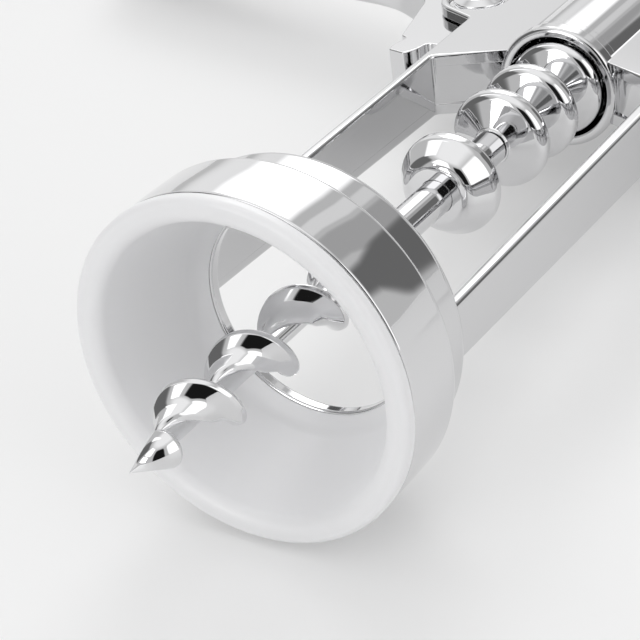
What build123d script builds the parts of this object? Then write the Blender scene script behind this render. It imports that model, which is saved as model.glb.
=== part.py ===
from build123d import *
import math
import os

# A double-lever corkscrew, lying on its bell and its handle as on a table.
# Every piece is drawn in the tool's own axes, in millimetres and degrees:
# Y runs along the tool from the bell's mouth (Y = 0) to the handle,
# X runs to the right and Z upwards, out of the plane of the two levers.
# The finished pieces are then turned by the rest tilt and set on the floor.

# Bell
bell_radius = 20.0
bell_step = 1.9
liner_rim_depth = 1.6
liner_rim_width = 2.3
liner_step_width = 2.8
liner_step_depth = 2.4
liner_set_back = 1.0
liner_shoulder_width = 1.3
liner_back_slope = 1.8
liner_rim_round = 0.75
liner_back_round = 1.2
front_ring_end = 10.2
front_ring_round = 0.7
front_ring_edge = 0.3
rear_ring_end = 15.9
rear_ring_round = 1.2
socket_start = 5.0
socket_wall = 1.5
flange_thickness = 1.5
flange_width = 5.7
flange_round = 0.5
seat_gap = 0.02

# Frame: straps, front walls, cheek plates and guide barrel
strap_inset = 0.9
strap_thickness = 1.6
strap_half_width = 3.3
strap_widening_start = 62.0
strap_edge_round = 0.4
strap_seat = 0.7
housing_front = 70.6
wall_thickness = 2.1
wall_lean = 4.4
plate_thickness = 1.6
plate_round = 0.5
lever_thickness = 4.7
lever_side_gap = 0.25
ear_radius = 5.2
ear_inner_x = 10.0
ear_inner_drop = 10.4
plate_tail_x = 8.0
plate_tail_rise = 15.5
barrel_start = 74.4
barrel_length = 33.6
barrel_outer = 7.8
barrel_bore = 6.8
collar_radius = 8.1
collar_length = 2.0
collar_round = 0.6
rivet_recess_radius = 4.05
rivet_recess_depth = 0.6

# Rack and gears: the pitch radius is where the two roll on each other
gear_module = 2.5
gear_teeth = 12
pressure_angle = 20.0
backlash = 0.15
rack_pitch_radius = 4.15
ring_radius = 6.3
ring_straight_radius = 5.5
ring_count = 8
rings_below_mesh = 4
tooth_height_share = 0.6
tooth_depth_share = 1.0
gear_pocket_gap = 0.35
pivot_y = 90.5
lever_teeth = 7
first_tooth_angle = 87.0
rest_lever_angle = 18.0

# Rack sleeve, worm, stop collar
sleeve_radius = 2.3
sleeve_lead = 2.9
sleeve_end_gap = 0.15
sleeve_end = 118.5
shaft_radius = 1.5
shaft_gap = 0.05
shaft_end = 131.0
worm_tip = -18.0
tip_length = 4.9
tip_radius = 2.0
tip_back = 0.9
tip_lean = 9.0
tip_lean_side = 45.0
core_radius = 1.05
shank_radius = 2.1
shank_start = 29.0
shank_taper = 4.0
flight_radius = 4.0
flight_pitch = 9.9
flight_start = -11.2
flight_end = 24.6
flight_root_radius = 0.6
flight_root_half = 2.6
flight_crown = 0.6
flight_tip_half = 0.8
flight_crest_angle = 44.0
flight_crest_y = -5.7
flight_lead_in = 6.0
flight_run_out = 3.2
collar_bead_radius = 6.3
collar_bead_front = 42.4
collar_bead_length = 5.4
collar_bead_face = 4.3
collar_bead_face_round = 2.0
collar_bead_crest = 2.9
collar_bead_crest_round = 1.6
collar_bead_land = 1.6
collar_bead_heel_round = 0.9
collar_bead_back = 4.6

# Pivot rivets
pin_radius = 2.4
pin_gap = 0.05
pin_head_radius = 3.5
pin_head_rim = 0.5
pin_dome_height = 0.8

# Handle and its cross pin
handle_gap = 0.3
handle_neck_radius = 3.5
handle_neck_length = 5.2
boss_radius = 6.0
boss_length = 8.5
boss_round = 1.2
head_thickness = 7.0
head_start = 127.0
head_end = 176.5
head_half_width = 18.5
head_shoulder = 16.0
head_tip_half = 11.0
head_corner_round = 7.0
head_edge_round = 1.2
head_wall = 6.0
opener_start = 149.0
opener_tip_half = 6.8
lip_half_width = 5.2
lip_height = 3.2
opener_corner_round = 3.0
cross_pin_radius = 1.0
cross_pin_y = 127.6
cross_pin_setback = 0.3

# Lever arm, with the pivot at (0, 0) and the arm along X
lever_length = 84.0
lever_edge_round = 1.1
arm_tip_upper = 8.6
arm_tip_lower = -7.6
arm_upper_tip_round = 7.0
arm_lower_tip_round = 6.0
arm_upper_waist = (42.5, 7.25)
arm_lower_waist = (48.0, -3.4)
arm_shoulder = (18.6, 1.5)
arm_shoulder_round = 12.0
arm_hollow = (9.4, -1.2)
arm_hollow_round = 4.0
arm_upper_root = (1.0, 12.3)
arm_lower_root = (1.9, -12.3)
arm_hub_lower = (-4.0, -10.0)
arm_hub_upper = (-5.0, 10.0)
arm_hub_round = 1.6

# Values worked out from the driving dimensions
housing_half = lever_thickness / 2 + lever_side_gap + plate_thickness
pocket_half = lever_thickness / 2 + lever_side_gap
rear_ring_radius = bell_radius - bell_step
flange_hole_radius = rear_ring_radius - flange_width
strap_outer = rear_ring_radius - strap_inset
strap_inner = strap_outer - strap_thickness
gear_pitch_radius = gear_module * gear_teeth / 2
gear_tip_radius = gear_pitch_radius + tooth_height_share * gear_module
gear_root_radius = gear_pitch_radius - tooth_depth_share * gear_module
pivot_x = rack_pitch_radius + gear_pitch_radius
ring_pitch = math.pi * gear_module
first_ring_y = pivot_y - rings_below_mesh * ring_pitch
sleeve_start = first_ring_y - sleeve_lead
handle_start = sleeve_end + handle_gap
tangent = math.tan(math.radians(pressure_angle))


def face_of(points):
    return make_face(Polyline(*points, close=True))


def round_corner(face, point, radius):
    nearest = min(face.vertices(), key=lambda v: (v.center() - Vector(*point)).length)
    return fillet(nearest, radius)


def turned(face):
    return revolve(face, axis=Axis.Y)


def slab(face, half):
    return extrude(face, amount=half, both=True)


def polar(radius, angle):
    turn = math.radians(angle)
    return (radius * math.cos(turn), radius * math.sin(turn))


# Bell

def bell_ring():
    inner = rear_ring_radius + seat_gap
    face = face_of([(inner, liner_rim_depth), (bell_radius, liner_rim_depth),
                    (bell_radius, front_ring_end), (inner, front_ring_end)])
    face = round_corner(face, (bell_radius, front_ring_end), front_ring_round)
    face = round_corner(face, (bell_radius, liner_rim_depth), front_ring_edge)
    return turned(face)


def bell_liner():
    outer = rear_ring_radius - socket_wall - seat_gap
    floor_y = rear_ring_end - flange_thickness
    floor_radius = flange_hole_radius + liner_set_back
    shoulder = (floor_radius + liner_shoulder_width, floor_y - liner_back_slope)
    rim = (bell_radius - liner_rim_width, 0)
    face = face_of([rim, (bell_radius, 0), (bell_radius, liner_rim_depth),
                    (rear_ring_radius, liner_rim_depth), (rear_ring_radius, socket_start),
                    (outer, socket_start), (outer, floor_y), (floor_radius, floor_y), shoulder,
                    (bell_radius - liner_step_width, liner_step_depth)])
    face = round_corner(face, shoulder, liner_back_round)
    face = round_corner(face, rim, liner_rim_round)
    face = round_corner(face, (bell_radius, 0), liner_rim_round)
    return turned(face)


def socket():
    inner = rear_ring_radius - socket_wall
    floor_y = rear_ring_end - flange_thickness
    face = face_of([(inner, socket_start), (rear_ring_radius, socket_start),
                    (rear_ring_radius, rear_ring_end), (flange_hole_radius, rear_ring_end),
                    (flange_hole_radius, floor_y), (inner, floor_y)])
    face = round_corner(face, (rear_ring_radius, rear_ring_end), rear_ring_round)
    face = round_corner(face, (flange_hole_radius, rear_ring_end), flange_round)
    face = round_corner(face, (flange_hole_radius, floor_y), flange_round)
    return turned(face)


# Frame

def strap():
    start = rear_ring_end - strap_seat
    end = housing_front + wall_thickness / 2
    side = Plane.YZ * face_of([(start, -strap_half_width), (strap_widening_start, -strap_half_width),
                               (housing_front, -housing_half), (end, -housing_half),
                               (end, housing_half), (housing_front, housing_half),
                               (strap_widening_start, strap_half_width), (start, strap_half_width)])
    body = extrude(side, amount=strap_thickness)
    body = Pos(strap_inner, 0, 0) * body
    long_edges = body.edges().filter_by(Axis.Y)
    return fillet(long_edges, strap_edge_round)


def front_wall():
    barrel_x = (barrel_outer + barrel_bore) / 2
    lean = wall_lean * (strap_inner - barrel_x) / (strap_inner - barrel_outer)
    outline = [(strap_outer, housing_front), (strap_inner, housing_front),
               (barrel_x, housing_front + lean), (barrel_x, housing_front + lean + wall_thickness),
               (strap_inner, housing_front + wall_thickness),
               (strap_outer, housing_front + wall_thickness - plate_round)]
    return slab(face_of(outline), housing_half)


def plate_outline():
    front = face_of([(strap_outer, housing_front), (strap_inner, housing_front),
                     (barrel_bore, housing_front + wall_lean), (-barrel_bore, housing_front + wall_lean),
                     (-strap_inner, housing_front), (-strap_outer, housing_front),
                     (-strap_outer, pivot_y), (strap_outer, pivot_y)])
    edges = Curve()
    for side in (-1, 1):
        edges += (Pos(side * pivot_x, pivot_y) * Circle(ear_radius)).edges()
        inner = (side * ear_inner_x, pivot_y - ear_inner_drop)
        tail = (side * plate_tail_x, pivot_y + plate_tail_rise)
        edges += Line(inner, tail)
    ears = make_hull(edges.edges())
    return front + ears


def cheek_plate(side):
    plate = extrude(plate_outline(), amount=plate_thickness)
    plate = fillet(plate.faces().sort_by(Axis.Z)[-1].edges(), plate_round)
    plate = Pos(0, 0, pocket_half) * plate
    if side < 0:
        plate = mirror(plate, about=Plane.XY)
    return plate


def barrel():
    end = barrel_start + barrel_length
    face = face_of([(barrel_bore, barrel_start), (collar_radius, barrel_start),
                    (collar_radius, barrel_start + collar_length), (barrel_outer, barrel_start + collar_length),
                    (barrel_outer, end), (barrel_bore, end)])
    face = round_corner(face, (collar_radius, barrel_start), collar_round)
    face = round_corner(face, (barrel_outer, end), collar_round)
    return turned(face)


def frame():
    body = socket() + strap() + mirror(strap(), about=Plane.YZ)
    body += front_wall() + mirror(front_wall(), about=Plane.YZ)
    body += cheek_plate(1) + cheek_plate(-1)
    body += barrel()
    bore = Pos(0, barrel_start + barrel_length / 2, 0) * Rot(90, 0, 0) * Cylinder(
        barrel_bore, barrel_length + 2 * wall_thickness)
    body -= bore
    for side in (-1, 1):
        centre = Pos(side * pivot_x, pivot_y, 0)
        body -= centre * Cylinder(gear_tip_radius + gear_pocket_gap, 2 * pocket_half)
        body -= centre * Cylinder(pin_radius + seat_gap, 4 * housing_half)
        for face in (-1, 1):
            level = face * (housing_half - rivet_recess_depth / 2)
            body -= centre * Pos(0, 0, level) * Cylinder(rivet_recess_radius, rivet_recess_depth)
    return body


# Rivets

def pivot_pin():
    seat = housing_half - rivet_recess_depth
    rim = seat + pin_head_rim
    shank = Cylinder(pin_radius, 2 * rim)
    dome_radius = (pin_head_radius ** 2 + pin_dome_height ** 2) / (2 * pin_dome_height)
    dome = Pos(0, 0, rim + pin_dome_height - dome_radius) * Sphere(dome_radius)
    head = Pos(0, 0, seat + pin_dome_height) * Cylinder(pin_head_radius, 2 * pin_dome_height) & dome
    return shank + head + mirror(head, about=Plane.XY)


# Rack sleeve

def ring_half_width(radius):
    at_pitch = ring_pitch / 4 - backlash / 2
    return at_pitch - (radius - rack_pitch_radius) * tangent


def rack_sleeve():
    bore = shaft_radius + shaft_gap
    root = ring_half_width(sleeve_radius)
    shoulder = ring_half_width(ring_straight_radius)
    last = (sleeve_radius, sleeve_start)
    lines = Line((bore, sleeve_start), last)
    for index in range(ring_count):
        centre = first_ring_y + index * ring_pitch
        foot = (sleeve_radius, centre - root)
        rise = (ring_straight_radius, centre - shoulder)
        crest = (ring_radius, centre)
        fall = (ring_straight_radius, centre + shoulder)
        back = (sleeve_radius, centre + root)
        lines += Line(last, foot) + Line(foot, rise)
        lines += ThreePointArc(rise, crest, fall) + Line(fall, back)
        last = back
    lines += Line(last, (sleeve_radius, sleeve_end))
    lines += Line((sleeve_radius, sleeve_end), (bore, sleeve_end))
    lines += Line((bore, sleeve_end), (bore, sleeve_start))
    return turned(make_face(lines))


# Worm

def worm_flight():
    # Drawn standing on Z, then laid along Y.
    shoulder = flight_radius - flight_crown
    turn_at_start = 360 * (flight_start - flight_crest_y) / flight_pitch - flight_crest_angle
    section = [(flight_root_radius, -flight_root_half), (shoulder, -flight_tip_half),
               (shoulder, flight_tip_half), (flight_root_radius, flight_root_half)]
    edges = Line(section[0], section[1])
    edges += ThreePointArc(section[1], (flight_radius, 0), section[2])
    edges += Line(section[2], section[3]) + Line(section[3], section[0])
    profile = Plane.XZ * make_face(edges)
    path = Helix(pitch=flight_pitch, height=flight_end - flight_start, radius=shoulder)
    thread = sweep(profile, path=path, is_frenet=True)
    thread = Rot(0, 0, turn_at_start) * thread
    return Pos(0, flight_start, 0) * Rot(-90, 0, 0) * thread


def flight_envelope():
    reach = flight_radius + flight_tip_half
    start = flight_start - flight_root_half
    end = flight_end + flight_root_half
    return turned(face_of([(0, start), (core_radius, start), (reach, start + flight_lead_in),
                           (reach, end - flight_run_out), (core_radius, end), (0, end)]))


def worm_point():
    # The point leans to one side, where the flight grows out of it.
    cone = turned(face_of([(0, 0), (tip_radius, tip_length), (core_radius / 2, tip_length + tip_back),
                           (0, tip_length + tip_back)]))
    return Pos(0, worm_tip, 0) * Rot(0, tip_lean_side, 0) * Rot(0, 0, -tip_lean) * cone


def worm():
    neck = worm_tip + tip_length / 2
    shank_end = sleeve_start - sleeve_end_gap
    core = turned(face_of([(0, neck), (core_radius / 2, neck), (core_radius, worm_tip + tip_length),
                           (core_radius, shank_start - shank_taper), (shank_radius, shank_start),
                           (shank_radius, shank_end), (shaft_radius, shank_end),
                           (shaft_radius, shaft_end), (0, shaft_end)]))
    hole = Pos(0, cross_pin_y, 0) * Cylinder(cross_pin_radius + seat_gap, 4 * shaft_radius)
    flight = worm_flight() & flight_envelope()
    return core + worm_point() + flight - hole


def stop_collar():
    bore = shank_radius + seat_gap
    front = collar_bead_front
    back = front + collar_bead_length
    nose = (collar_bead_face, front)
    crest = (collar_bead_radius, front + collar_bead_crest)
    heel = (collar_bead_radius, front + collar_bead_crest + collar_bead_land)
    face = face_of([(bore, front), nose, crest, heel, (collar_bead_back, back), (bore, back)])
    face = round_corner(face, nose, collar_bead_face_round)
    face = round_corner(face, crest, collar_bead_crest_round)
    face = round_corner(face, heel, collar_bead_heel_round)
    return turned(face)


# Handle

def head_outline():
    return [(-boss_radius, head_start), (boss_radius, head_start),
            (head_half_width, head_start + head_shoulder),
            (head_half_width, head_end - head_shoulder), (head_tip_half, head_end),
            (-head_tip_half, head_end), (-head_half_width, head_end - head_shoulder),
            (-head_half_width, head_start + head_shoulder)]


def opener_outline():
    half = head_half_width - head_wall
    top = head_end - head_wall
    return [(-half, opener_start), (-lip_half_width, opener_start),
            (-lip_half_width, opener_start + lip_height), (lip_half_width, opener_start + lip_height),
            (lip_half_width, opener_start), (half, opener_start),
            (half, head_end - head_shoulder), (opener_tip_half, top),
            (-opener_tip_half, top), (-half, head_end - head_shoulder)]


def handle():
    outline = head_outline()
    face = face_of(outline)
    for corner in outline[2:]:
        face = round_corner(face, corner, head_corner_round)
    hole = opener_outline()
    opening = face_of(hole)
    for corner in (hole[0], *hole[5:]):
        opening = round_corner(opening, corner, opener_corner_round)
    head = slab(face - opening, head_thickness / 2)
    rims = head.faces().filter_by(Axis.Z).edges()
    head = fillet(rims, head_edge_round)
    neck_end = handle_start + handle_neck_length
    boss_end = neck_end + boss_length
    stem = face_of([(0, handle_start), (handle_neck_radius, handle_start), (handle_neck_radius, neck_end),
                    (boss_radius, neck_end), (boss_radius, boss_end), (0, boss_end)])
    stem = round_corner(stem, (boss_radius, neck_end), boss_round)
    stem = round_corner(stem, (boss_radius, boss_end), boss_round)
    body = head + turned(stem)
    depth = shaft_end + handle_gap - handle_start
    bore = Pos(0, handle_start + depth / 2, 0) * Rot(90, 0, 0) * Cylinder(shaft_radius + shaft_gap, depth)
    cross = Pos(0, cross_pin_y, 0) * Cylinder(cross_pin_radius + seat_gap, 4 * boss_radius)
    return body - bore - cross


def cross_pin():
    length = 2 * (boss_radius - cross_pin_setback)
    return Pos(0, cross_pin_y, 0) * Cylinder(cross_pin_radius, length)


# Levers, drawn with the pivot at the origin and the arm along X

def involute(radius):
    base = gear_pitch_radius * math.cos(math.radians(pressure_angle))
    angle = math.acos(min(1.0, base / radius))
    return math.tan(angle) - angle


def tooth_half_angle(radius):
    at_pitch = (ring_pitch / 2 - backlash) / 2 / gear_pitch_radius
    return math.degrees(at_pitch + involute(gear_pitch_radius) - involute(radius))


def gear_sector():
    base = gear_pitch_radius * math.cos(math.radians(pressure_angle))
    steps = [base, (base + gear_pitch_radius) / 2, gear_pitch_radius, gear_tip_radius]
    step_angle = 360 / gear_teeth
    start = polar(gear_root_radius, first_tooth_angle - step_angle / 2)
    lines = Curve()
    last = start
    for index in range(lever_teeth):
        centre = first_tooth_angle + index * step_angle
        foot_angle = tooth_half_angle(base)
        foot = polar(gear_root_radius, centre - foot_angle)
        lines += RadiusArc(last, foot, -gear_root_radius)
        rise = [polar(r, centre - tooth_half_angle(r)) for r in steps]
        fall = [polar(r, centre + tooth_half_angle(r)) for r in reversed(steps)]
        lines += Line(foot, rise[0]) + Spline(*rise)
        lines += RadiusArc(rise[-1], fall[0], -gear_tip_radius)
        lines += Spline(*fall)
        last = polar(gear_root_radius, centre + foot_angle)
        lines += Line(fall[-1], last)
    end = polar(gear_root_radius, first_tooth_angle + (lever_teeth - 0.5) * step_angle)
    lines += RadiusArc(last, end, -gear_root_radius)
    lines += Line(end, (0, 0)) + Line((0, 0), start)
    return make_face(lines)


def arm():
    upper_tip = (lever_length, arm_tip_upper)
    lower_tip = (lever_length, arm_tip_lower)
    lines = ThreePointArc(arm_upper_root, arm_upper_waist, upper_tip) + Line(upper_tip, lower_tip)
    lines += ThreePointArc(lower_tip, arm_lower_waist, arm_shoulder)
    lines += Polyline(arm_shoulder, arm_hollow, arm_lower_root, arm_hub_lower, arm_hub_upper, arm_upper_root)
    face = make_face(lines)
    face = round_corner(face, upper_tip, arm_upper_tip_round)
    face = round_corner(face, lower_tip, arm_lower_tip_round)
    face = round_corner(face, arm_shoulder, arm_shoulder_round)
    face = round_corner(face, arm_hollow, arm_hollow_round)
    for corner in (arm_lower_root, arm_hub_lower, arm_hub_upper, arm_upper_root):
        face = round_corner(face, corner, arm_hub_round)
    body = slab(face, lever_thickness / 2)
    return fillet(body.faces().filter_by(Axis.Z).edges(), lever_edge_round)


def lever():
    body = arm() + slab(gear_sector(), lever_thickness / 2)
    return body - Cylinder(pin_radius + pin_gap, 4 * lever_thickness)


def right_lever():
    return Pos(pivot_x, pivot_y, 0) * Rot(0, 0, rest_lever_angle) * lever()


# Rest pose: the bell's front ring and the handle's end touch the floor

def rest_tilt():
    ring_y = front_ring_end - front_ring_round
    ring_z = bell_radius - front_ring_round
    head_y = head_end - head_edge_round
    head_z = head_thickness / 2 - head_edge_round
    span = math.hypot(head_y - ring_y, ring_z - head_z)
    slope = math.atan2(ring_z - head_z, head_y - ring_y)
    return math.degrees(slope - math.asin((head_edge_round - front_ring_round) / span))


def main():
    pieces = {
        "frame": frame(),
        "bell_ring": bell_ring(),
        "bell_liner": bell_liner(),
        "left_pivot_pin": Pos(-pivot_x, pivot_y, 0) * pivot_pin(),
        "right_pivot_pin": Pos(pivot_x, pivot_y, 0) * pivot_pin(),
        "rack_sleeve": rack_sleeve(),
        "worm": worm(),
        "stop_collar": stop_collar(),
        "handle": handle(),
        "cross_pin": cross_pin(),
        "left_lever": mirror(right_lever(), about=Plane.YZ),
        "right_lever": right_lever(),
    }
    tilt = Rot(-rest_tilt(), 0, 0)
    laid = {name: tilt * piece for name, piece in pieces.items()}
    box = Compound(children=[piece.solids()[0] for piece in laid.values()]).bounding_box()
    to_floor = Pos(0, -(box.min.Y + box.max.Y) / 2, -box.min.Z)
    os.makedirs("parts", exist_ok=True)
    for name, piece in laid.items():
        export_step(to_floor * piece, f"parts/{name}.step")
    shift = to_floor.position
    print(f"rest tilt {rest_tilt():.4f} degrees, mouth centre at Y {shift.Y:.4f}, Z {shift.Z:.4f}")
    print(f"pivot at X {pivot_x:.3f}, ring pitch {ring_pitch:.4f}, first ring at Y {first_ring_y:.3f}")


main()
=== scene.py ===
import bpy
import math
import numpy as np
from mathutils import Matrix, Vector
from mathutils.geometry import tessellate_polygon


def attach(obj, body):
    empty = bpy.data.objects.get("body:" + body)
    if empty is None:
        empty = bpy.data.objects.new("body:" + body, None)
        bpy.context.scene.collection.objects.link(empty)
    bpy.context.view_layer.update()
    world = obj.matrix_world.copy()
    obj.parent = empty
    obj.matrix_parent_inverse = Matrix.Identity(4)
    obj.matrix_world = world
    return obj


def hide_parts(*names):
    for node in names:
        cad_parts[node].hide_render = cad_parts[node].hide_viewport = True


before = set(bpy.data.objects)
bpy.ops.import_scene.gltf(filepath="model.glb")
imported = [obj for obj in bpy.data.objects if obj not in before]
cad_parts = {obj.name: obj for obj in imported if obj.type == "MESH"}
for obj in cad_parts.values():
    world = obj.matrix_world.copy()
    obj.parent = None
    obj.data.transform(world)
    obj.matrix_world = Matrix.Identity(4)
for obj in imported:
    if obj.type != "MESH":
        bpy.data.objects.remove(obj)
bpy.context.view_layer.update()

# Lengths are in millimetres in the tool's own axes, as in the CAD source:
# Y along the tool from the bell's mouth, X to the right, Z out of the plane of the levers.
# At rest the tool lies tilted on its bell and handle, which sets the place of the mouth's centre.
MM = 0.001
REST_TILT = 5.6824
MOUTH_Y = -78.9774
MOUTH_Z = 20.8458

TO_SCENE = (Matrix.Translation((0, MOUTH_Y * MM, MOUTH_Z * MM))
            @ Matrix.Rotation(-math.radians(REST_TILT), 4, "X") @ Matrix.Scale(MM, 4))

# A corner of a profile or an outline has three numbers: its place and the radius that rounds it
CRISP = 0.05
ON_AXIS = 1e-5
FULL_TURN = 360.0
STRAIGHT = 0.003
CORNER_SHARE = 0.49


# Outlines

def corner_rows(here, before, after, radius, steps):
    """One corner as an arc between its edges, or as one row where they run straight on."""
    before_room = np.linalg.norm(before)
    after_room = np.linalg.norm(after)
    before = before / before_room
    after = after / after_room
    half = math.acos(float(np.clip(before @ after, -1, 1))) / 2
    if half > math.pi / 2 - STRAIGHT:
        return [(*here, after[1], -after[0])]
    reach = min(radius / math.tan(half), before_room * CORNER_SHARE, after_room * CORNER_SHARE)
    radius = reach * math.tan(half)
    turn = math.pi - 2 * half
    sign = 1 if before[0] * after[1] - before[1] * after[0] < 0 else -1
    normal = np.array((-before[1], before[0]))
    centre = here + before * reach - normal * radius * sign
    parts = max(2, math.ceil(steps * turn / (math.pi / 2)))
    rows = []
    for k in range(parts + 1):
        angle = sign * turn * k / parts
        c, s = math.cos(angle), math.sin(angle)
        out = np.array((normal[0] * c - normal[1] * s, normal[0] * s + normal[1] * c))
        rows.append((*(centre + out * radius * sign), *out))
    return rows


def rounded(points, closed=True, steps=6):
    """Rounds a line of (x, y, radius). Returns rows of x, y and the normal, on the line's right."""
    places = [np.array(point[:2], float) for point in points]
    last = len(places) - 1
    rows = []
    for i, here in enumerate(places):
        if not closed and i in (0, last):
            way = places[1] - here if i == 0 else here - places[last - 1]
            way /= np.linalg.norm(way)
            rows.append((*here, way[1], -way[0]))
        else:
            before = places[i - 1] - here
            after = places[(i + 1) % len(places)] - here
            rows += corner_rows(here, before, after, points[i][2], steps)
    return np.array(rows)


def at(radius, angle, corner):
    """A point by its radius and its angle in degrees."""
    turn = math.radians(angle)
    return (radius * math.cos(turn), radius * math.sin(turn), corner)


def both_sides(right, first):
    """The right half's points with their mirror images, beginning at a place on the left."""
    left = [(-x, y, corner) for x, y, corner in right[::-1]]
    return left[first:] + right + left[:first]


def circle_rows(centre, radius, start, end, count, corner=50.0):
    """Points of an arc, each with a radius that lets the corner rounding make them smooth."""
    spread = [at(radius, start + (end - start) * i / count, corner) for i in range(count + 1)]
    return [(centre[0] + x, centre[1] + y, corner) for x, y, corner in spread]


def arc_through(a, b, c, count, skip_first, skip_last, corner=80.0):
    """Points of the circle's arc from a through b to c, without the first and last few."""
    ax, ay, bx, by, cx, cy = *a, *b, *c
    a_square, b_square, c_square = ax * ax + ay * ay, bx * bx + by * by, cx * cx + cy * cy
    d = 2 * (ax * (by - cy) + bx * (cy - ay) + cx * (ay - by))
    ux = (a_square * (by - cy) + b_square * (cy - ay) + c_square * (ay - by)) / d
    uy = (a_square * (cx - bx) + b_square * (ax - cx) + c_square * (bx - ax)) / d
    radius = math.hypot(ax - ux, ay - uy)
    first = math.degrees(math.atan2(ay - uy, ax - ux))
    last = math.degrees(math.atan2(cy - uy, cx - ux))
    if last - first > FULL_TURN / 2:
        last -= FULL_TURN
    if first - last > FULL_TURN / 2:
        last += FULL_TURN
    return circle_rows((ux, uy), radius, first, last, count, corner)[skip_first:count + 1 - skip_last]


def hole_rows(centre, radius, count=72):
    """A round hole, with its normals towards its middle."""
    made = []
    for i in range(count):
        angle = -2 * math.pi * i / count
        c, s = math.cos(angle), math.sin(angle)
        made.append((centre[0] + radius * c, centre[1] + radius * s, -c, -s))
    return np.array(made)


def tangent_angle(point, centre, radius, side):
    """The angle at the circle's centre of the tangent from a point."""
    dx, dy = point[0] - centre[0], point[1] - centre[1]
    return math.degrees(math.atan2(dy, dx) + side * math.acos(radius / math.hypot(dx, dy)))


def share_between(value, low, high):
    """How far a value lies from low to high, from nought to one."""
    return min(1.0, max(0.0, (value - low) / (high - low)))


def smooth(share):
    return share * share * (3 - 2 * share)


# Meshes

class Mesh:
    """Points with their normals, and faces."""

    def __init__(self):
        self.verts = []
        self.normals = []
        self.faces = []

    def add(self, verts, normals, faces):
        base = len(self.verts)
        self.verts.extend([tuple(v) for v in verts])
        self.normals.extend([tuple(n) for n in normals])
        self.faces.extend([tuple(base + i for i in f) for f in faces])
        return self

    def mirrored(self, axis):
        made = Mesh()
        flip = np.ones(3)
        flip[axis] = -1
        made.verts = [tuple(np.array(v) * flip) for v in self.verts]
        made.normals = [tuple(np.array(n) * flip) for n in self.normals]
        made.faces = [tuple(reversed(f)) for f in self.faces]
        return made

    def moved(self, matrix):
        turn = matrix.to_3x3()
        made = Mesh()
        made.verts = [tuple(matrix @ Vector(v)) for v in self.verts]
        made.normals = [tuple(turn @ Vector(n)) for n in self.normals]
        made.faces = list(self.faces)
        return made

    def joined(self, *others):
        made = Mesh()
        for part in (self, *others):
            made.add(part.verts, part.normals, part.faces)
        return made


def lathe(points, closed=True, segments=160, steps=6, start=0.0, sweep=FULL_TURN):
    """Turns a profile of (radius, y, corner radius) about the tool's axis. The solid is on its left."""
    rows = rounded(points, closed, steps)
    whole = sweep == FULL_TURN
    spans = int(segments * sweep / FULL_TURN)
    columns = spans if whole else spans + 1
    angles = [math.radians(start + sweep * j / spans) for j in range(columns)]
    verts, normals, rings = [], [], []
    for r, y, nr, ny in rows:
        if r < ON_AXIS:
            rings.append([len(verts)] * columns)
            verts.append((0, y, 0))
            normals.append((0, math.copysign(1, ny), 0))
            continue
        rings.append(list(range(len(verts), len(verts) + columns)))
        for angle in angles:
            c, s = math.cos(angle), math.sin(angle)
            verts.append((r * c, y, r * s))
            normals.append((nr * c, ny, nr * s))
    pairs = list(zip(rings, rings[1:]))
    if closed:
        pairs.append((rings[-1], rings[0]))
    faces = []
    for a, b in pairs:
        for j in range(spans):
            k = (j + 1) % columns
            loop = [a[j], b[j], b[k], a[k]]
            face = [v for n, v in enumerate(loop) if v != loop[n - 1]]
            if len(face) > 2:
                faces.append(face)
    mesh = Mesh().add(verts, normals, faces)
    if not whole:
        for angle, sign in ((angles[0], -1), (angles[-1], 1)):
            c, s = math.cos(angle), math.sin(angle)
            end = [(r * c, y, r * s) for r, y, _, _ in rows]
            loop = list(range(len(end)))
            mesh.add(end, [(-s * sign, 0, c * sign)] * len(end), [loop if sign < 0 else loop[::-1]])
    return mesh


def edge_radii(edge, rows):
    return [edge(x, y) if callable(edge) else edge for x, y, _, _ in rows]


def slab(outline, low, high, edge, holes=(), steps=4, low_edge=None):
    """A plate between two heights in Z, its outlines from rounded() and the solid on their left.
    The rounding of its edges is a number or a function of the place."""
    mesh = Mesh()
    caps = {"top": [], "bottom": []}
    angles = [math.pi / 2 * k / steps for k in range(steps + 1)]
    for rows in (outline, *holes):
        count = len(rows)
        above = edge_radii(edge, rows)
        below = edge_radii(edge if low_edge is None else low_edge, rows)
        levels = [(above, high, 1, angle) for angle in angles]
        levels += [(below, low, -1, angle) for angle in angles[::-1]]
        verts, normals = [], []
        for radii, end, side, angle in levels:
            flat, up = math.sin(angle), math.cos(angle)
            for (x, y, nx, ny), e in zip(rows, radii):
                verts.append((x + nx * e * (flat - 1), y + ny * e * (flat - 1), end - side * e * (1 - up)))
                normals.append((nx * flat, ny * flat, side * up))
        faces = []
        for base in range(0, (len(levels) - 1) * count, count):
            for i in range(count):
                k = (i + 1) % count
                faces.append((base + i, base + count + i, base + count + k, base + k))
        first = len(mesh.verts)
        mesh.add(verts, normals, faces)
        caps["top"].append(list(range(first, first + count)))
        caps["bottom"].append(list(range(len(mesh.verts) - count, len(mesh.verts))))
    for side, loops in caps.items():
        flat = [i for loop in loops for i in loop]
        triangles = tessellate_polygon([[Vector(mesh.verts[i][:2]).to_3d() for i in loop] for loop in loops])
        for triangle in triangles:
            a, b, c = (np.array(mesh.verts[flat[i]]) for i in triangle)
            face = [flat[i] for i in triangle]
            if (np.cross(b - a, c - a)[2] > 0) != (side == "top"):
                face.reverse()
            mesh.faces.append(tuple(face))
    return mesh


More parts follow.
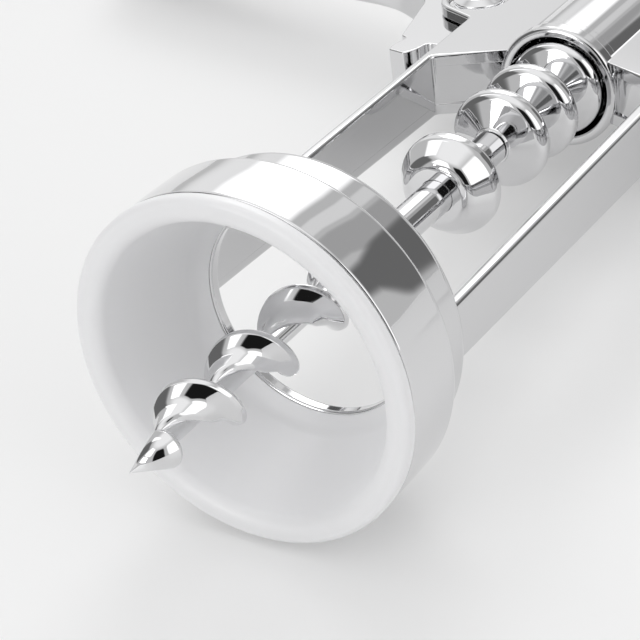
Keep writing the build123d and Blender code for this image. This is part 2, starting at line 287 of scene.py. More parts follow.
def piece(name, mesh, material, body, nodes):
    """Puts a mesh into the scene on its body, in place of the CAD nodes."""
    data = bpy.data.meshes.new(name)
    data.from_pydata([TO_SCENE @ Vector(v) for v in mesh.verts], [], mesh.faces)
    data.polygons.foreach_set("use_smooth", [True] * len(data.polygons))
    turn = TO_SCENE.to_3x3().normalized()
    normals = [tuple((turn @ Vector(n)).normalized()) for n in mesh.normals]
    data.normals_split_custom_set_from_vertices(normals)
    data.materials.append(material)
    made = bpy.data.objects.new(name, data)
    bpy.context.scene.collection.objects.link(made)
    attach(made, body)
    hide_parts(*nodes)


# Materials

BLUE_TINT = 1.01
POLISH_STRETCH = (1, 0.25, 1)
POLISH_SCALE = 160
POLISH_DETAIL = 6
POLISH_DEPTH = 0.0001
POLISH_RANGE = (0.6, 1.5)
PLASTIC_COLOUR = (0.87, 0.87, 0.88, 1)
PLASTIC_ROUGHNESS = 0.34
PLASTIC_SCATTER = 0.25
PLASTIC_SCATTER_DEPTH = 0.0012
PLASTIC_GRAIN_SCALE = 900
PLASTIC_GRAIN_DETAIL = 3
PLASTIC_GRAIN_STRENGTH = 0.05
PLASTIC_GRAIN_DEPTH = 0.00005


def new_material(name):
    made = bpy.data.materials.new(name)
    made.use_nodes = True
    return made, made.node_tree.nodes, made.node_tree.links


def add_noise(nodes, links, place, scale, detail):
    cloud = nodes.new("ShaderNodeTexNoise")
    cloud.inputs["Scale"].default_value = scale
    cloud.inputs["Detail"].default_value = detail
    links.new(place, cloud.inputs["Vector"])
    return cloud.outputs["Fac"]


def add_bump(nodes, links, height, strength, depth):
    bump = nodes.new("ShaderNodeBump")
    bump.inputs["Strength"].default_value = strength
    bump.inputs["Distance"].default_value = depth
    links.new(height, bump.inputs["Height"])
    links.new(bump.outputs["Normal"], nodes["Principled BSDF"].inputs["Normal"])


def chrome(name, shade, roughness, smear):
    """Polished plating: a near mirror with faint polishing marks in its roughness and height."""
    made, nodes, links = new_material(name)
    shader = nodes["Principled BSDF"]
    shader.inputs["Base Color"].default_value = (shade, shade, shade * BLUE_TINT, 1)
    shader.inputs["Metallic"].default_value = 1
    shader.inputs["Roughness"].default_value = roughness
    stretch = nodes.new("ShaderNodeMapping")
    stretch.inputs["Scale"].default_value = POLISH_STRETCH
    links.new(nodes.new("ShaderNodeTexCoord").outputs["Object"], stretch.inputs["Vector"])
    marks = add_noise(nodes, links, stretch.outputs["Vector"], POLISH_SCALE, POLISH_DETAIL)
    span = nodes.new("ShaderNodeMapRange")
    span.inputs["To Min"].default_value = roughness * POLISH_RANGE[0]
    span.inputs["To Max"].default_value = roughness * POLISH_RANGE[1]
    links.new(marks, span.inputs["Value"])
    links.new(span.outputs["Result"], shader.inputs["Roughness"])
    add_bump(nodes, links, marks, smear, POLISH_DEPTH)
    return made


def white_plastic(name):
    """Satin moulded plastic with a fine grain."""
    made, nodes, links = new_material(name)
    shader = nodes["Principled BSDF"]
    shader.inputs["Base Color"].default_value = PLASTIC_COLOUR
    shader.inputs["Roughness"].default_value = PLASTIC_ROUGHNESS
    shader.inputs["Subsurface Weight"].default_value = PLASTIC_SCATTER
    shader.inputs["Subsurface Radius"].default_value = (PLASTIC_SCATTER_DEPTH,) * 3
    place = nodes.new("ShaderNodeTexCoord").outputs["Object"]
    grain = add_noise(nodes, links, place, PLASTIC_GRAIN_SCALE, PLASTIC_GRAIN_DETAIL)
    add_bump(nodes, links, grain, PLASTIC_GRAIN_STRENGTH, PLASTIC_GRAIN_DEPTH)
    return made


frame_chrome = chrome("frame_plating", shade=0.68, roughness=0.05, smear=0.02)
bell_chrome = chrome("bell_plating", shade=0.72, roughness=0.035, smear=0.01)
spindle_chrome = chrome("spindle_plating", shade=0.74, roughness=0.035, smear=0.02)
lever_chrome = chrome("lever_plating", shade=0.74, roughness=0.06, smear=0.03)
liner_white = white_plastic("liner_plastic")

cad_looks = [
    (frame_chrome, ["frame"]),
    (bell_chrome, ["bell_ring"]),
    (liner_white, ["bell_liner"]),
    (spindle_chrome, ["rack_sleeve", "worm", "stop_collar"]),
    (spindle_chrome, ["cross_pin", "left_pivot_pin", "right_pivot_pin"]),
    (lever_chrome, ["handle", "left_lever", "right_lever"]),
]
for look, names in cad_looks:
    for name in names:
        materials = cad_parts[name].data.materials
        materials.clear()
        materials.append(look)


# Bell: the crowned front ring, and the white liner with its thick rim

BELL_R = 20.0
SOCKET_R = 18.1
SOCKET_START = 5.0
SEAT_GAP = 0.02
RING_IN = SOCKET_R + SEAT_GAP
RING_START = 1.68
RING_END = 10.2
CROWN_Y = 5.6
CROWN_ROUND = 180.0
CROWN_DROP = 0.005
RING_START_DROP = 0.08
RING_START_ROUND = 0.32
RING_END_DROP = 0.07
RING_END_ROUND = 1.1
RIM_IN = 17.25
RIM_END = 1.5
RIM_IN_ROUND = 2.1
RIM_OUT_ROUND = 0.8
RIM_BACK_ROUND = 0.25
LINER_R = 16.58
LINER_END = 14.4
LINER_MOUTH = 12.43
LINER_MOUTH_ROUND = 0.12
LINER_WALL_BACK = (14.3, 13.0, 2.4)
LINER_WALL_FRONT = (16.3, 3.7, 3.8)


def bell_front_ring():
    profile = [(RING_IN, RING_START, CRISP),
               (BELL_R - RING_START_DROP, RING_START, RING_START_ROUND),
               (BELL_R - CROWN_DROP, CROWN_Y, CROWN_ROUND),
               (BELL_R - RING_END_DROP, RING_END, RING_END_ROUND),
               (RING_IN, RING_END, CRISP)]
    return lathe(profile, segments=320, steps=14)


def bell_liner():
    rim = [(RIM_IN, 0.0, RIM_IN_ROUND), (BELL_R, 0.0, RIM_OUT_ROUND), (BELL_R, RIM_END, RIM_BACK_ROUND)]
    shoulder = [(SOCKET_R, RIM_END, CRISP), (SOCKET_R, SOCKET_START, CRISP), (LINER_R, SOCKET_START, CRISP)]
    back = [(LINER_R, LINER_END, CRISP), (LINER_MOUTH, LINER_END, LINER_MOUTH_ROUND)]
    return lathe(rim + shoulder + back + [LINER_WALL_BACK, LINER_WALL_FRONT], segments=256, steps=8)


piece("bell_front_ring", bell_front_ring(), bell_chrome, "frame", ["bell_ring"])
piece("bell_liner_ring", bell_liner(), liner_white, "frame", ["bell_liner"])


# Frame: socket, straps, housing plates and guide barrel

STRAP_OUT = 17.2
STRAP_IN = 15.6
STRAP_START = 15.3
STRAP_HALF = 3.3
STRAP_EDGE = 0.72
WIDENING_START = 62.0
HOUSING_FRONT = 70.6
HOUSING_HALF = 4.2
HOUSING_EDGE = 0.45
HOUSING_ROUND = 0.9
SLOT_HALF = 2.6
SLOT_EDGE = 0.12
PIVOT = (19.15, 90.5)
EAR_R = 5.2
EAR_INNER = (10.0, 80.1)
BEND_ROUND = 0.5
PLATE_FRONT = 75.2
PLATE_TAIL = (8.0, 106.0)
PLATE_TAIL_ROUND = 1.0
PLATE_INNER = 6.45
BARREL_SIDE = (7.6, 74.0)
BARREL_SIDE_EDGE = 0.02
HOUSING_WALL_END = 7.3
HOUSING_WALL_FRONT = 75.29
HOUSING_WALL_BACK = 77.4
WALL_THICKNESS = 2.1
HIDDEN_GAP = 0.01
HIDDEN_LAP = 0.3
RECESS_R = 4.05
RECESS_FLOOR = 3.6
RIVET_R = 2.4
RIVET_GAP = 0.03
RIVET_HEAD_R = 3.5
RIVET_RIM = 4.1
RIVET_RIM_ROUND = 0.35
RIVET_DOME = (2.2, 4.75, 1.5)
RIVET_TOP = 4.9
SOCKET_ROUND = 1.3
SOCKET_END = 15.9
SOCKET_IN = LINER_R + SEAT_GAP
FLANGE_IN = 12.4
FLANGE_BACK_ROUND = 0.5
FLANGE_FRONT_ROUND = 0.3
BORE_R = 6.8
BORE_FRONT_ROUND = 0.35
BORE_END_ROUND = 0.3
BARREL_R = 7.8
BARREL_START = 74.4
BARREL_END = 108.0
BARREL_END_ROUND = 0.6
COLLAR_R = 8.1
COLLAR_ROUND = 0.62
COLLAR_STEP = ((COLLAR_R, 76.4, 0.4), (BARREL_R, 76.7, 0.3))
ROOF_START = 78.0
ROOF_END = 103.0
ROOF_ANGLE = 22.6
STAND_UP = Matrix.Rotation(math.pi / 2, 4, "X")


def widened(mesh):
    """Widens the housing's shape from the straps' width to its own along the tool."""
    narrow = STRAP_HALF / HOUSING_HALF

    def width(y):
        return narrow + (1 - narrow) * smooth(share_between(y, WIDENING_START, HOUSING_FRONT))

    mesh.verts = [(x, y, z * width(y)) for x, y, z in mesh.verts]
    return mesh


def plate_edge(x, y):
    """The rounding of the plate's top edge, which stays sharp beside the barrel."""
    if x < BARREL_SIDE[0] and y > BARREL_SIDE[1]:
        return BARREL_SIDE_EDGE
    return STRAP_EDGE - (STRAP_EDGE - HOUSING_EDGE) * share_between(y, WIDENING_START, HOUSING_FRONT)


def top_plate():
    """The upper sheet of one side: the strap's top, the housing's plate and the lever's ear."""
    ear_front = tangent_angle(EAR_INNER, PIVOT, EAR_R, 1)
    ear_back = tangent_angle(PLATE_TAIL, PIVOT, EAR_R, -1)
    ear = circle_rows(PIVOT, EAR_R, ear_front, ear_back, count=24)
    slope = (ear[0][1] - EAR_INNER[1]) / (ear[0][0] - EAR_INNER[0])
    ear_meets_strap = EAR_INNER[1] + slope * (STRAP_OUT - EAR_INNER[0])
    strap = [(STRAP_IN, STRAP_START, CRISP), (STRAP_OUT, STRAP_START, CRISP),
             (STRAP_OUT, ear_meets_strap, BEND_ROUND)]
    tail = [(*PLATE_TAIL, PLATE_TAIL_ROUND), (PLATE_INNER, PLATE_TAIL[1], CRISP),
            (PLATE_INNER, PLATE_FRONT, CRISP), (STRAP_IN, HOUSING_FRONT, HOUSING_ROUND)]
    outline = rounded(strap + ear + tail, steps=8)
    recess = hole_rows(PIVOT, RECESS_R)
    return widened(slab(outline, SLOT_HALF, HOUSING_HALF, plate_edge, [recess], steps=6, low_edge=SLOT_EDGE))


def bent_strap():
    """The middle of one side: the strap, bent inwards as the housing's front wall."""
    outer = STRAP_OUT - HIDDEN_GAP
    inner = STRAP_IN + HIDDEN_GAP
    outline = rounded(
        [(inner, STRAP_START, CRISP), (outer, STRAP_START, CRISP),
         (outer, HOUSING_FRONT + WALL_THICKNESS, BEND_ROUND),
         (HOUSING_WALL_END, HOUSING_WALL_BACK, CRISP), (HOUSING_WALL_END, HOUSING_WALL_FRONT, CRISP),
         (inner, HOUSING_FRONT + HIDDEN_GAP, HOUSING_ROUND)], steps=8)
    half = SLOT_HALF + HIDDEN_LAP
    return widened(slab(outline, -half, half, HIDDEN_GAP, steps=1))


def recess_floor():
    """The washer-shaped floor of the recess round a rivet's head."""
    inner = RIVET_R + RIVET_GAP
    outer = RECESS_R - HIDDEN_GAP
    bottom = SLOT_HALF + SEAT_GAP
    ring = lathe([(inner, bottom, 2 * CRISP), (outer, bottom, CRISP), (outer, RECESS_FLOOR, CRISP),
                  (inner, RECESS_FLOOR, 2 * CRISP)], segments=72, steps=3)
    return ring.moved(Matrix.Translation((*PIVOT, 0)) @ STAND_UP)


def bell_socket():
    """The bell's rear ring, with the flange inside it."""
    return lathe([(SOCKET_IN, SOCKET_START, CRISP), (SOCKET_R, SOCKET_START, CRISP),
                  (SOCKET_R, SOCKET_END, SOCKET_ROUND), (FLANGE_IN, SOCKET_END, FLANGE_BACK_ROUND),
                  (FLANGE_IN, LINER_END, FLANGE_FRONT_ROUND), (SOCKET_IN, LINER_END, CRISP)],
                 segments=256, steps=8)


def guide_barrel():
    """The barrel's collared front, its end, and the roofs between them, which leave the sides open."""
    front = lathe([(BORE_R, BARREL_START, BORE_FRONT_ROUND), (COLLAR_R, BARREL_START, COLLAR_ROUND),
                   *COLLAR_STEP, (BARREL_R, ROOF_START, CRISP), (BORE_R, ROOF_START, CRISP)],
                  segments=192, steps=8)
    rear = lathe([(BORE_R, ROOF_END, CRISP), (BARREL_R, ROOF_END, CRISP),
                  (BARREL_R, BARREL_END, BARREL_END_ROUND), (BORE_R, BARREL_END, BORE_END_ROUND)],
                 segments=192, steps=6)
    corners = [(BORE_R, ROOF_START), (BARREL_R, ROOF_START), (BARREL_R, ROOF_END), (BORE_R, ROOF_END)]
    roof = lathe([(*corner, BARREL_SIDE_EDGE) for corner in corners], segments=192, steps=2,
                 start=ROOF_ANGLE, sweep=FULL_TURN / 2 - 2 * ROOF_ANGLE)
    return front.joined(rear, roof, roof.mirrored(2))


def frame_body():
    plate = top_plate()
    floor_ring = recess_floor()
    right_half = plate.joined(plate.mirrored(2), bent_strap(), floor_ring, floor_ring.mirrored(2))
    return right_half.joined(right_half.mirrored(0), bell_socket(), guide_barrel())


def rivet(side):
    """A pivot rivet with a low domed head at each end, on the right (1) or the left (-1)."""
    half = [(RIVET_R, RECESS_FLOOR, CRISP), (RIVET_HEAD_R, RECESS_FLOOR, CRISP),
            (RIVET_HEAD_R, RIVET_RIM, RIVET_RIM_ROUND), RIVET_DOME, (0, RIVET_TOP, 0)]
    profile = [(r, -z, corner) for r, z, corner in half[::-1]] + half
    turned = lathe(profile, closed=False, segments=96, steps=5)
    return turned.moved(Matrix.Translation((side * PIVOT[0], PIVOT[1], 0)) @ STAND_UP)


piece("frame_body", frame_body(), frame_chrome, "frame", ["frame"])
piece("right_rivet", rivet(1), spindle_chrome, "frame", ["right_pivot_pin"])
piece("left_rivet", rivet(-1), spindle_chrome, "frame", ["left_pivot_pin"])


# Rack sleeve with its rings

GEAR_MODULE = 2.5
PRESSURE_ANGLE = math.radians(20)
BACKLASH = 0.15
RING_PITCH = GEAR_MODULE * math.pi
RINGS = 8
RINGS_BELOW_PIVOT = 4
FIRST_RING = PIVOT[1] - RINGS_BELOW_PIVOT * RING_PITCH
RACK_PITCH_R = 4.15
RING_R = 6.3
RING_ROUND = 1.42
VALLEY_ROUND = 0.6
SLEEVE_R = 2.3
SLEEVE_BORE = 1.55
SLEEVE_START = FIRST_RING - 2.9
SLEEVE_START_ROUND = 0.1
SLEEVE_END = 118.5
SLEEVE_END_ROUND = 0.15


def ring_half(radius):
    """Half a ring's width at a radius, with straight sides as a rack's teeth have."""
    return RING_PITCH / 4 - BACKLASH / 2 - (radius - RACK_PITCH_R) * math.tan(PRESSURE_ANGLE)


def rack_rings():
    foot = ring_half(SLEEVE_R)
    crest = ring_half(RING_R)
    profile = [(SLEEVE_BORE, SLEEVE_START, CRISP), (SLEEVE_R, SLEEVE_START, SLEEVE_START_ROUND)]
    for ring in range(RINGS):
        y = FIRST_RING + ring * RING_PITCH
        profile += [(SLEEVE_R, y - foot, VALLEY_ROUND), (RING_R, y - crest, RING_ROUND),
                    (RING_R, y + crest, RING_ROUND), (SLEEVE_R, y + foot, VALLEY_ROUND)]
    profile += [(SLEEVE_R, SLEEVE_END, SLEEVE_END_ROUND), (SLEEVE_BORE, SLEEVE_END, CRISP)]
    return lathe(profile, segments=160, steps=8)


piece("rack_rings", rack_rings(), spindle_chrome, "rack", ["rack_sleeve"])


# Worm: core and shaft, flights and leaning tip

FLIGHT_PITCH = 9.9
FLIGHT_START = -11.8
FLIGHT_END = 25.6
FLIGHT_R = 4.0
FLIGHT_ROOT_R = 0.4
FLIGHT_LEAD_IN = 4.2
FLIGHT_RUN_OUT = 4.0
FLIGHT_END_SIZE = 0.1
FLIGHT_END_THICKNESS = 0.2
FLIGHT_GROWTH = 0.9
CREST_ANGLE = math.radians(44)
CREST_Y = -5.7
COLUMNS_PER_TURN = 120
CORE_R = 0.95
CORE_START_R = 0.5
CORE_START = -15.5
CORE_FULL = -13.1
CORE_FULL_ROUND = 0.4
CORE_END = 25.0
CORE_END_ROUND = 4.0
SHANK_R = 2.1
SHANK_START = 29.0
SHANK_START_ROUND = 2.0
SHANK_END = 56.03
SHAFT_R = 1.5
SHAFT_END = 131.0
SHAFT_ROUND = 0.1
TIP_Y = -18.0
TIP_R = 2.15
TIP_LENGTH = 5.5
TIP_ROUND = 0.55
TIP_BACK_R = 0.6
TIP_BACK = 6.4
TIP_BACK_ROUND = 0.4
TIP_LEAN = math.radians(6.5)
TIP_SIDE = math.radians(45)

# The flight's section at full size, as radius, place along the worm and corner radius: from the root
# on the point's side over the hollow face and the lip to the root on the handle's side
FLIGHT_SECTION = [(FLIGHT_ROOT_R, -3.45, 0.05), (1.1, -3.4, 0.4), (1.65, -3.05, 1.1), (2.5, -1.42, 2.2),
                  (3.8, -0.3, 0.4), (FLIGHT_R, 0.3, 0.35), (3.5, 0.8, 0.6), (1.1, 1.2, 0.5),
                  (FLIGHT_ROOT_R, 1.7, 0.05)]


def flight():
    """A right-handed flight that grows out of the point and runs out into the shank."""
    section = rounded(FLIGHT_SECTION, steps=8)
    around = len(section)
    length = FLIGHT_END - FLIGHT_START
    columns = int(length / FLIGHT_PITCH * COLUMNS_PER_TURN)
    rise = FLIGHT_PITCH / (2 * math.pi)
    verts, normals, faces = [], [], []
    for i in range(columns + 1):
        y = FLIGHT_START + length * i / columns
        along_end = min((y - FLIGHT_START) / FLIGHT_LEAD_IN, (FLIGHT_END - y) / FLIGHT_RUN_OUT)
        eased_end = math.sin(share_between(along_end, 0, 1) * math.pi / 2) ** FLIGHT_GROWTH
        grow = FLIGHT_END_SIZE + (1 - FLIGHT_END_SIZE) * eased_end
        thick = FLIGHT_END_THICKNESS + (1 - FLIGHT_END_THICKNESS) * grow
        angle = CREST_ANGLE - (y - CREST_Y) / rise
        c, s = math.cos(angle), math.sin(angle)
        for r, along, nr, ny in section:
            radius = FLIGHT_ROOT_R + (r - FLIGHT_ROOT_R) * grow
            verts.append((radius * c, y + along * thick, radius * s))
            outward, forward = nr / grow, ny / thick
            sideways = forward * rise / radius
            normal = np.array((outward * c - sideways * s, forward, outward * s + sideways * c))
            normals.append(normal / np.linalg.norm(normal))
    for base in range(0, columns * around, around):
        for j in range(around):
            k = (j + 1) % around
            faces.append((base + j, base + around + j, base + around + k, base + k))
    faces.append(tuple(range(around)))
    faces.append(tuple(columns * around + j for j in reversed(range(around))))
    return Mesh().add(verts, normals, faces)


def worm_core():
    point = [(0, CORE_START, 0), (CORE_START_R, CORE_START, CRISP), (CORE_R, CORE_FULL, CORE_FULL_ROUND)]
    shank = [(CORE_R, CORE_END, CORE_END_ROUND), (SHANK_R, SHANK_START, SHANK_START_ROUND),
             (SHANK_R, SHANK_END, SHAFT_ROUND)]
    shaft = [(SHAFT_R, SHANK_END, CRISP), (SHAFT_R, SHAFT_END, SHAFT_ROUND), (0, SHAFT_END, 0)]
    return lathe(point + shank + shaft, closed=False, segments=96, steps=6)


def worm_tip():
    cone = lathe([(0, 0, 0), (TIP_R, TIP_LENGTH, TIP_ROUND), (TIP_BACK_R, TIP_BACK, TIP_BACK_ROUND),
                  (0, TIP_BACK, 0)], closed=False, segments=96, steps=8)
    lean = Matrix.Rotation(TIP_SIDE, 4, "Y") @ Matrix.Rotation(-TIP_LEAN, 4, "Z")
    return cone.moved(Matrix.Translation((0, TIP_Y, 0)) @ lean)


worm = worm_core().joined(worm_tip(), flight())
piece("worm_spindle", worm, spindle_chrome, "screw", ["worm"])


# Stop collar: the domed bead on the shank

BEAD_BORE = SHANK_R + SEAT_GAP
BEAD_START = 42.4
BEAD_END = 47.8
BEAD_R = 6.3
BEAD_FACE = (4.3, BEAD_START, 2.2)
BEAD_CREST = (BEAD_R, 45.3, 1.8)
BEAD_HEEL = (BEAD_R, 46.9, 0.9)
BEAD_BACK = (4.6, BEAD_END, 0.8)

bead = lathe([(BEAD_BORE, BEAD_START, CRISP), BEAD_FACE, BEAD_CREST, BEAD_HEEL, BEAD_BACK,
              (BEAD_BORE, BEAD_END, CRISP)], segments=160, steps=10)
piece("stop_bead", bead, spindle_chrome, "screw", ["stop_collar"])


# Levers, drawn with the pivot at the origin and the arm along X

GEAR_R = 15.0
BASE_R = GEAR_R * math.cos(PRESSURE_ANGLE)
ROOT_R = 12.5
TEETH_R = 16.5
TEETH = 7
TOOTH_STEP = 30
FIRST_TOOTH = 87
TOOTH_TIP_ROUND = 0.3
TOOTH_FLANK_ROUND = 4.0
TOOTH_FOOT_ROUND = 0.7
TOOTH_FOOT_TURN = 0.6
TOOTH_GAP_ROUND = 20.0
LEVER_HALF = 2.35
LEVER_BORE = 2.45
LEVER_ANGLE = math.radians(18)
GEAR_EDGE = 0.18
GEAR_EDGE_R = 17.0
ARM_EDGE = 1.1
ARM_EDGE_R = 24.0
HEEL = [(2.6, -12.2, 0.6), (9.4, -1.2, 4.0)]
ARM_START = (18.6, 1.5)
ARM_START_ROUND = 12.0
ARM_UNDER = (48, -3.4)
ARM_END = 83.8
ARM_END_LOW = (ARM_END, -7.6)
ARM_END_HIGH = (ARM_END, 8.6)
ARM_LOW_ROUND = 6.0
ARM_HIGH_ROUND = 7.0
ARM_OVER = (42.5, 7.25)
ARM_BACK = (1.0, 12.3)


def involute(radius):
    angle = math.acos(min(1.0, BASE_R / radius))
    return math.tan(angle) - angle


def tooth_half(radius):
    """Half a tooth's angle at a radius, in degrees."""
    at_pitch = (RING_PITCH / 2 - BACKLASH) / 2 / GEAR_R
    return math.degrees(at_pitch + involute(GEAR_R) - involute(radius))


def tooth(centre):
    """One tooth's points, from its foot up one flank and down the other."""
    flank = [BASE_R, (BASE_R + GEAR_R) / 2, GEAR_R, (GEAR_R + TEETH_R) / 2]
    foot = tooth_half(BASE_R) + TOOTH_FOOT_TURN
    tip = tooth_half(TEETH_R)
    rising = [at(ROOT_R, centre - foot, TOOTH_FOOT_ROUND)]
    rising += [at(r, centre - tooth_half(r), TOOTH_FLANK_ROUND) for r in flank]
    rising.append(at(TEETH_R, centre - tip, TOOTH_TIP_ROUND))
    falling = [at(TEETH_R, centre + tip, TOOTH_TIP_ROUND)]
    falling += [at(r, centre + tooth_half(r), TOOTH_FLANK_ROUND) for r in reversed(flank)]
    falling.append(at(ROOT_R, centre + foot, TOOTH_FOOT_ROUND))
    return rising + falling


def gear_sector():
    points = []
    for i in range(TEETH):
        centre = FIRST_TOOTH + TOOTH_STEP * i
        points += tooth(centre)
        if i < TEETH - 1:
            points.append(at(ROOT_R, centre + TOOTH_STEP / 2, TOOTH_GAP_ROUND))
    return points


def lever_arm():
    """The arm's outline: heel, curved underside, broad rounded end and curved top."""
    points = HEEL + [(*ARM_START, ARM_START_ROUND)]
    points += arc_through(ARM_START, ARM_UNDER, ARM_END_LOW, count=16, skip_first=1, skip_last=3)
    points += [(*ARM_END_LOW, ARM_LOW_ROUND), (*ARM_END_HIGH, ARM_HIGH_ROUND)]
    points += arc_through(ARM_END_HIGH, ARM_OVER, ARM_BACK, count=24, skip_first=4, skip_last=2)
    return points


def lever_edge(x, y):
    """The rounding of a lever's edges: small on the teeth, and full along the arm."""
    share = smooth(share_between(math.hypot(x, y), GEAR_EDGE_R, ARM_EDGE_R))
    return GEAR_EDGE + (ARM_EDGE - GEAR_EDGE) * share


outline = rounded(gear_sector() + lever_arm(), steps=8)
lever = slab(outline, -LEVER_HALF, LEVER_HALF, lever_edge, [hole_rows((0, 0), LEVER_BORE)], steps=5)
right_lever = lever.moved(Matrix.Translation((*PIVOT, 0)) @ Matrix.Rotation(LEVER_ANGLE, 4, "Z"))
piece("right_arm", right_lever, lever_chrome, "right_lever", ["right_lever"])
piece("left_arm", right_lever.mirrored(0), lever_chrome, "left_lever", ["left_lever"])


# Handle with its cap lifter

HEAD_START = 127.0
HEAD_END = 176.5
HEAD_HALF = 18.5
HEAD_SHOULDER = 16.0
HEAD_TIP_HALF = 11.0
HEAD_FOOT_ROUND = 0.5
HEAD_ROUND = 7.0
HEAD_WALL = 6.0
HEAD_THICKNESS = 7.0
HEAD_EDGE = 1.2
LIFTER_START = 149.0
LIFTER_TIP_HALF = 6.8
LIFTER_ROUND = 3.0
LIP_HALF = 5.2
LIP_HEIGHT = 3.2
LIP_ROUND = 0.9
NECK_START = 118.8
NECK_R = 3.5
NECK_START_ROUND = 0.3
NECK_END_ROUND = 0.5
BOSS_START = 124.0
BOSS_END = 132.5
BOSS_R = 6.0
BOSS_ROUND = 1.2
PIN_Y = 127.6
PIN_R = 1.0
PIN_HALF = 5.7
PIN_ROUND = 0.2


def handle_head():
    """A flat head with an opening, whose lip at the handle's neck lifts the caps."""
    low_shoulder = HEAD_START + HEAD_SHOULDER
    high_shoulder = HEAD_END - HEAD_SHOULDER
    side = HEAD_HALF - HEAD_WALL
    lip_end = LIFTER_START + LIP_HEIGHT
    head = both_sides([(BOSS_R, HEAD_START, HEAD_FOOT_ROUND), (HEAD_HALF, low_shoulder, HEAD_ROUND),
                       (HEAD_HALF, high_shoulder, HEAD_ROUND), (HEAD_TIP_HALF, HEAD_END, HEAD_ROUND)],
                      first=3)
    lifter = both_sides([(LIP_HALF, lip_end, LIP_ROUND), (LIP_HALF, LIFTER_START, LIP_ROUND),
                         (side, LIFTER_START, LIFTER_ROUND), (side, high_shoulder, LIFTER_ROUND),
                         (LIFTER_TIP_HALF, HEAD_END - HEAD_WALL, LIFTER_ROUND)], first=2)
    opening = rounded(lifter[::-1], steps=8)
    half = HEAD_THICKNESS / 2
    return slab(rounded(head, steps=12), -half, half, HEAD_EDGE, [opening], steps=6)


def handle_stem():
    """The neck and the boss that hold the worm's shaft."""
    neck = [(0, NECK_START, 0), (NECK_R, NECK_START, NECK_START_ROUND), (NECK_R, BOSS_START, NECK_END_ROUND)]
    boss = [(BOSS_R, BOSS_START, BOSS_ROUND), (BOSS_R, BOSS_END, BOSS_ROUND), (0, BOSS_END, 0)]
    return lathe(neck + boss, closed=False, segments=96, steps=6)


def cross_pin():
    pin = lathe([(0, -PIN_HALF, 0), (PIN_R, -PIN_HALF, PIN_ROUND), (PIN_R, PIN_HALF, PIN_ROUND),
                 (0, PIN_HALF, 0)], closed=False, segments=48, steps=4)
    return pin.moved(Matrix.Translation((0, PIN_Y, 0)) @ STAND_UP)


handle = handle_head().joined(handle_stem())
piece("turn_handle", handle, lever_chrome, "screw", ["handle"])
piece("cross_pin_ends", cross_pin(), spindle_chrome, "screw", ["cross_pin"])


# Floor

FLOOR_HALF = 4.0
FLOOR_COLOUR = (0.88, 0.88, 0.88, 1)
FLOOR_ROUGHNESS = 0.5
FLOOR_SHARE = 0.3


def floor_paper():
    """Pale paper. Seen straight or in the chrome it is partly its own plain white, so shadows stay pale."""
    made, nodes, links = new_material("floor_paper")
    paper = nodes["Principled BSDF"]
    paper.inputs["Base Color"].default_value = FLOOR_COLOUR
    paper.inputs["Roughness"].default_value = FLOOR_ROUGHNESS
    glow = nodes.new("ShaderNodeEmission")
    glow.inputs["Color"].default_value = FLOOR_COLOUR
    rays = nodes.new("ShaderNodeLightPath")
    in_view = rays.outputs["Is Camera Ray"]
    for ray in ("Is Glossy Ray", "Is Transmission Ray"):
        either = nodes.new("ShaderNodeMath")
        either.operation = "MAXIMUM"
        links.new(in_view, either.inputs[0])
        links.new(rays.outputs[ray], either.inputs[1])
        in_view = either.outputs["Value"]
    share = nodes.new("ShaderNodeMath")
    share.operation = "MULTIPLY"
    links.new(in_view, share.inputs[0])
    share.inputs[1].default_value = FLOOR_SHARE
    mixed = nodes.new("ShaderNodeMixShader")
    links.new(share.outputs["Value"], mixed.inputs["Fac"])
    links.new(paper.outputs["BSDF"], mixed.inputs[1])
    links.new(glow.outputs["Emission"], mixed.inputs[2])
    links.new(mixed.outputs["Shader"], nodes["Material Output"].inputs["Surface"])
    return made


floor_data = bpy.data.meshes.new("floor")
floor_corners = [(-FLOOR_HALF, -FLOOR_HALF, 0), (FLOOR_HALF, -FLOOR_HALF, 0),
                 (FLOOR_HALF, FLOOR_HALF, 0), (-FLOOR_HALF, FLOOR_HALF, 0)]
floor_data.from_pydata(floor_corners, [], [(0, 1, 2, 3)])
floor_data.materials.append(floor_paper())
floor = bpy.data.objects.new("floor", floor_data)
bpy.context.scene.collection.objects.link(floor)


# Lamps

def softbox(name, place, aim, width, height, power):
    data = bpy.data.lights.new(name, "AREA")
    data.shape = "RECTANGLE"
    data.size = width
    data.size_y = height
    data.energy = power
    made = bpy.data.objects.new(name, data)
    bpy.context.scene.collection.objects.link(made)
    made.location = place
    made.rotation_euler = (Vector(aim) - Vector(place)).to_track_quat("-Z", "Y").to_euler()


softbox("key", place=(-0.35, 0.75, 0.72), aim=(0, -0.03, 0.02), width=0.5, height=0.4, power=1.2)
softbox("fill", place=(-0.264, -0.805, 0.227), aim=(0, -0.079, 0.02), width=0.3, height=0.24, power=1.05)


# Studio round the object

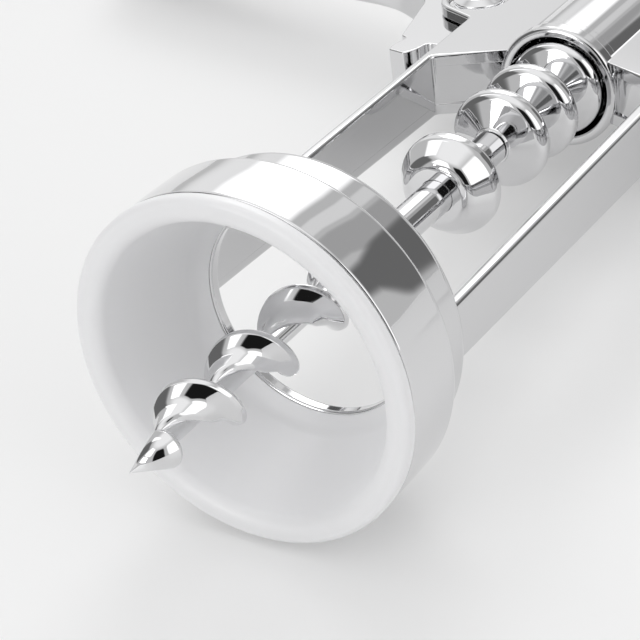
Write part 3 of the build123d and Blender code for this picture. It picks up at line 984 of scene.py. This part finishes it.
# Softly edged boxes of one level each, in a plain room. The angles are in degrees, azimuths from the
# tool's axis towards the right. The larger its edge value is, the softer a box's edge.
STUDIO = {
    "back_left_glow": dict(azimuth=-42, elevation=28, half_width=18, half_height=20, edge=2.2, level=1.0),
    "back_left_box": dict(azimuth=-21, elevation=37, half_width=19, half_height=17, edge=1.1, level=1.85),
    "back_strip": dict(azimuth=10, elevation=36, half_width=4, half_height=14, edge=0.9, level=0.85),
    "back_right_gap": dict(azimuth=23, elevation=28, half_width=6.5, half_height=11, edge=0.7, level=0.45),
    "back_right_dark": dict(azimuth=33, elevation=13, half_width=8, half_height=13, edge=0.6, level=0.17),
    "right_box": dict(azimuth=98, elevation=24, half_width=20, half_height=28, edge=0.6, level=1.5),
    "front_dark": dict(azimuth=147, elevation=19, half_width=19, half_height=30, edge=0.5, level=0.012),
    "front_left_box": dict(azimuth=-162, elevation=42, half_width=20, half_height=15, edge=0.8, level=1.7),
    "left_gap": dict(azimuth=-112, elevation=18, half_width=25, half_height=27, edge=0.7, level=0.16),
    "left_box": dict(azimuth=-86, elevation=56, half_width=8, half_height=19, edge=0.7, level=1.5),
}
INNER_EDGE_LIMIT = 0.95
CORNER_POWER = 5
OVERHEAD_LEVEL = 1.1
OVERHEAD_FROM = 46
OVERHEAD_FULL = 70
ROOM_LEVEL = 0.62
GROUND_LEVEL = 0.85

world = bpy.data.worlds.new("studio")
world.use_nodes = True
bpy.context.scene.world = world
sky_nodes = world.node_tree.nodes
sky_links = world.node_tree.links


def sky_math(operation, first, second=0.0, third=0.0, clamp=False):
    made = sky_nodes.new("ShaderNodeMath")
    made.operation = operation
    made.use_clamp = clamp
    for socket, value in zip(made.inputs, (first, second, third)):
        if isinstance(value, bpy.types.NodeSocket):
            sky_links.new(value, socket)
        else:
            socket.default_value = value
    return made.outputs["Value"]


def eased(value, low, high):
    """Nought at low, rising smoothly to one at high."""
    made = sky_nodes.new("ShaderNodeMapRange")
    made.interpolation_type = "SMOOTHSTEP"
    sky_links.new(value, made.inputs["Value"])
    made.inputs["From Min"].default_value = low
    made.inputs["From Max"].default_value = high
    return made.outputs["Result"]


def off_centre(angle, centre, half):
    """An angle's distance from a box's centre in half sizes, to a power that rounds the box's corners."""
    away = sky_math("WRAP", sky_math("SUBTRACT", angle, centre), FULL_TURN / 2, -FULL_TURN / 2)
    return sky_math("POWER", sky_math("ABSOLUTE", sky_math("DIVIDE", away, half)), CORNER_POWER)


def laid_over(below, mask, strength):
    """A level laid over what is below it, where the mask is one."""
    kept = sky_math("MULTIPLY", below, sky_math("SUBTRACT", 1.0, mask))
    return sky_math("ADD", kept, sky_math("MULTIPLY", mask, strength))


way = sky_nodes.new("ShaderNodeSeparateXYZ")
sky_links.new(sky_nodes.new("ShaderNodeTexCoord").outputs["Generated"], way.inputs["Vector"])
azimuth = sky_math("DEGREES", sky_math("ARCTAN2", way.outputs["X"], way.outputs["Y"]))
elevation = sky_math("DEGREES", sky_math("ARCSINE", way.outputs["Z"]))
overhead = eased(elevation, OVERHEAD_FROM, OVERHEAD_FULL)
level = sky_math("MULTIPLY_ADD", overhead, OVERHEAD_LEVEL - ROOM_LEVEL, ROOM_LEVEL)
for box in STUDIO.values():
    reach = sky_math("ADD", off_centre(azimuth, box["azimuth"], box["half_width"]),
                     off_centre(elevation, box["elevation"], box["half_height"]))
    mask = eased(reach, 1 + box["edge"], 1 - min(box["edge"], INNER_EDGE_LIMIT))
    level = laid_over(level, mask, box["level"])
level = laid_over(level, sky_math("MULTIPLY_ADD", elevation, -1.0, 0.0, clamp=True), GROUND_LEVEL)
sky_links.new(level, sky_nodes["Background"].inputs["Strength"])
sky_nodes["Background"].inputs["Color"].default_value = (1, 1, 1, 1)


# Camera, at the photograph's viewing angle

CAMERA_PLACE = (0.10704, -0.203666, 0.136727)
CAMERA_TURN = (55.383, 9.466, 30.816)
SENSOR_WIDTH = 36
LENS = 112.5
CLIP_START = 0.005

camera_data = bpy.data.cameras.new("camera")
camera_data.sensor_width = SENSOR_WIDTH
camera_data.lens = LENS
camera_data.clip_start = CLIP_START
camera = bpy.data.objects.new("camera", camera_data)
bpy.context.scene.collection.objects.link(camera)
camera.location = CAMERA_PLACE
camera.rotation_euler = [math.radians(angle) for angle in CAMERA_TURN]
bpy.context.scene.camera = camera
bpy.context.scene.view_settings.view_transform = "Standard"
